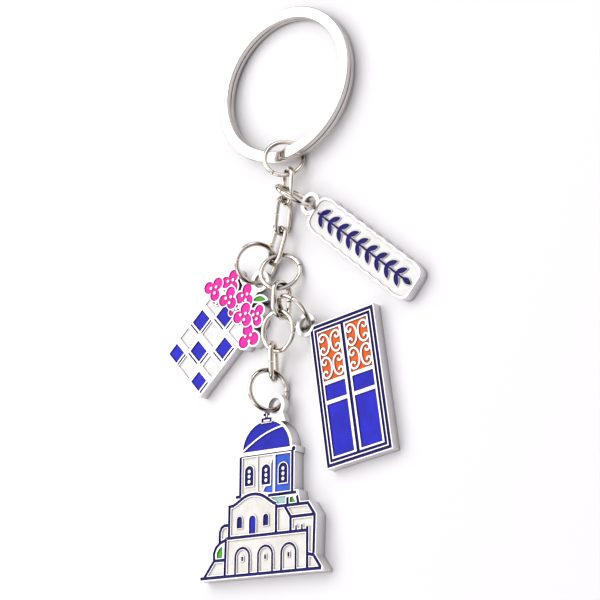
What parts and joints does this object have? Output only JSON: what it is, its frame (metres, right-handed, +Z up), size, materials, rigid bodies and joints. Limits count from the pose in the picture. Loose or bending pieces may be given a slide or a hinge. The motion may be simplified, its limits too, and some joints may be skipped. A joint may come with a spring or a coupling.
{
  "type": "charm keychain",
  "caption": "Split key ring with a short chain of open-joint rings and links carrying flat enamelled metal charms: a name label, a door, a flower pot and a church.",
  "frame": {"origin": "middle of the footprint, on the surface it lies on", "axes": "+Z up out of the charms' faces, +Y along the keychain towards the split ring, +X to the door's side"},
  "size_m": [0.0564, 0.105, 0.008],
  "materials": {
    "ring_steel": "polished nickel-plated steel, fine wear",
    "chain_metal": "nickel-plated wire, polished",
    "charm_metal": "nickel-plated zinc casting, polished",
    "enamel_aqua": "soft enamel filling, glossy, slightly sunken",
    "enamel_blue": "soft enamel filling, glossy, slightly sunken",
    "enamel_cream": "soft enamel filling, glossy, slightly sunken",
    "enamel_green": "soft enamel filling, glossy, slightly sunken",
    "enamel_light_blue": "soft enamel filling, glossy, slightly sunken",
    "enamel_navy": "soft enamel filling, glossy, slightly sunken",
    "enamel_orange": "soft enamel filling, glossy, slightly sunken",
    "enamel_pink": "soft enamel filling, glossy, slightly sunken",
    "enamel_royal_blue": "soft enamel filling, glossy, slightly sunken",
    "enamel_white": "soft enamel filling, glossy, slightly sunken"
  },
  "bodies": {
    "split_ring": {"split_ring": "ring_steel"},
    "top_ring": {"jump_ring_top": "chain_metal"},
    "link_1": {"chain_link_1": "chain_metal"},
    "label_ring": {"jump_ring_label": "chain_metal"},
    "label": {"label_plate": "charm_metal", "label_enamel_white": "enamel_white", "label_enamel_navy": "enamel_navy"},
    "link_2": {"chain_link_2": "chain_metal"},
    "link_3": {"chain_link_3": "chain_metal"},
    "middle_ring": {"jump_ring_middle": "chain_metal"},
    "pot_ring": {"jump_ring_pot": "chain_metal"},
    "pot": {"pot_plate": "charm_metal", "pot_enamel_white": "enamel_white", "pot_enamel_blue": "enamel_blue", "pot_enamel_pink": "enamel_pink", "pot_enamel_green": "enamel_green"},
    "link_4": {"chain_link_4": "chain_metal"},
    "door_ring": {"jump_ring_door": "chain_metal"},
    "door": {"door_plate": "charm_metal", "door_enamel_navy": "enamel_navy", "door_enamel_blue": "enamel_blue", "door_enamel_orange": "enamel_orange"},
    "lower_ring": {"jump_ring_lower": "chain_metal"},
    "link_5": {"chain_link_5": "chain_metal"},
    "church_ring": {"jump_ring_church": "chain_metal"},
    "church": {"church_plate": "charm_metal", "church_enamel_navy": "enamel_navy", "church_enamel_royal_blue": "enamel_royal_blue", "church_enamel_light_blue": "enamel_light_blue", "church_enamel_cream": "enamel_cream", "church_enamel_green": "enamel_green", "church_enamel_aqua": "enamel_aqua"}
  },
  "joints": [
    {"name": "top_ring_swing", "type": "hinge", "parent": "split_ring", "child": "top_ring", "pos_m": [0.00042, 0.02414, 0.00219], "axis": [0.9574, 0.2889, 0], "range_deg": [-9, 4]},
    {"name": "link_1_swing", "type": "hinge", "parent": "top_ring", "child": "link_1", "pos_m": [-0.00051, 0.01995, 0.00223], "axis": [0.6736, 0.4364, -0.5966], "range_deg": [-40, 40]},
    {"name": "label_ring_swing", "type": "hinge", "parent": "link_1", "child": "label_ring", "pos_m": [0.00047, 0.01691, 0.00336], "axis": [0.0349, 0.9992, 0.0175], "range_deg": [-45, 28]},
    {"name": "label_swing", "type": "hinge", "parent": "label_ring", "child": "label", "pos_m": [0.00396, 0.01358, 0.0015], "axis": [0.5501, -0.4438, 0.7075], "range_deg": [-6, 50]},
    {"name": "link_2_swing", "type": "hinge", "parent": "link_1", "child": "link_2", "pos_m": [-0.00209, 0.01466, 0.002], "axis": [0.6783, -0.6397, 0.3616], "range_deg": [-24, 8]},
    {"name": "link_3_swing", "type": "hinge", "parent": "link_2", "child": "link_3", "pos_m": [-0.00236, 0.00906, 0.00206], "axis": [-0.068, -0.0949, 0.9932], "range_deg": [-30, 4]},
    {"name": "middle_ring_swing", "type": "hinge", "parent": "link_3", "child": "middle_ring", "pos_m": [-0.00426, 0.00386, 0.00175], "axis": [-0.9214, 0.2884, -0.2604], "range_deg": [0, 14]},
    {"name": "pot_ring_swing", "type": "hinge", "parent": "link_3", "child": "pot_ring", "pos_m": [-0.0048, 0.00416, 0.00159], "axis": [-0.756, 0.6136, -0.2279], "range_deg": [-8, 10]},
    {"name": "pot_swing", "type": "hinge", "parent": "pot_ring", "child": "pot", "pos_m": [-0.00674, 0.00077, 0.00155], "axis": [0.6665, 0.3751, -0.6443], "range_deg": [-6, 10]},
    {"name": "link_4_swing", "type": "hinge", "parent": "middle_ring", "child": "link_4", "pos_m": [-0.00007, -0.00111, 0.00258], "axis": [0.7599, 0.3955, -0.5159], "range_deg": [-13, 10]},
    {"name": "door_ring_swing", "type": "hinge", "parent": "link_4", "child": "door_ring", "pos_m": [-0.0009, -0.00396, 0.00496], "axis": [-0.121, 0.9851, -0.1219], "range_deg": [0, 20]},
    {"name": "door_swing", "type": "hinge", "parent": "door_ring", "child": "door", "pos_m": [0.00442, -0.00858, 0.00159], "axis": [0.7467, 0.2391, 0.6207], "range_deg": [-15, 8]},
    {"name": "lower_ring_swing", "type": "hinge", "parent": "link_4", "child": "lower_ring", "pos_m": [-0.00026, -0.00671, 0.00401], "axis": [-0.26, 0.3273, 0.9084], "range_deg": [-13, 9]},
    {"name": "link_5_swing", "type": "hinge", "parent": "lower_ring", "child": "link_5", "pos_m": [-0.00267, -0.01222, 0.00294], "axis": [0.8555, -0.5177, 0.0069], "range_deg": [-40, 45]},
    {"name": "church_ring_swing", "type": "hinge", "parent": "link_5", "child": "church_ring", "pos_m": [-0.00128, -0.01632, 0.00418], "axis": [0.0519, 0.98, 0.192], "range_deg": [-45, 5]},
    {"name": "church_swing", "type": "hinge", "parent": "church_ring", "child": "church", "pos_m": [-0.00116, -0.02263, 0.00183], "axis": [0.3687, 0.5644, -0.7386], "range_deg": [-22, 25]}
  ]
}
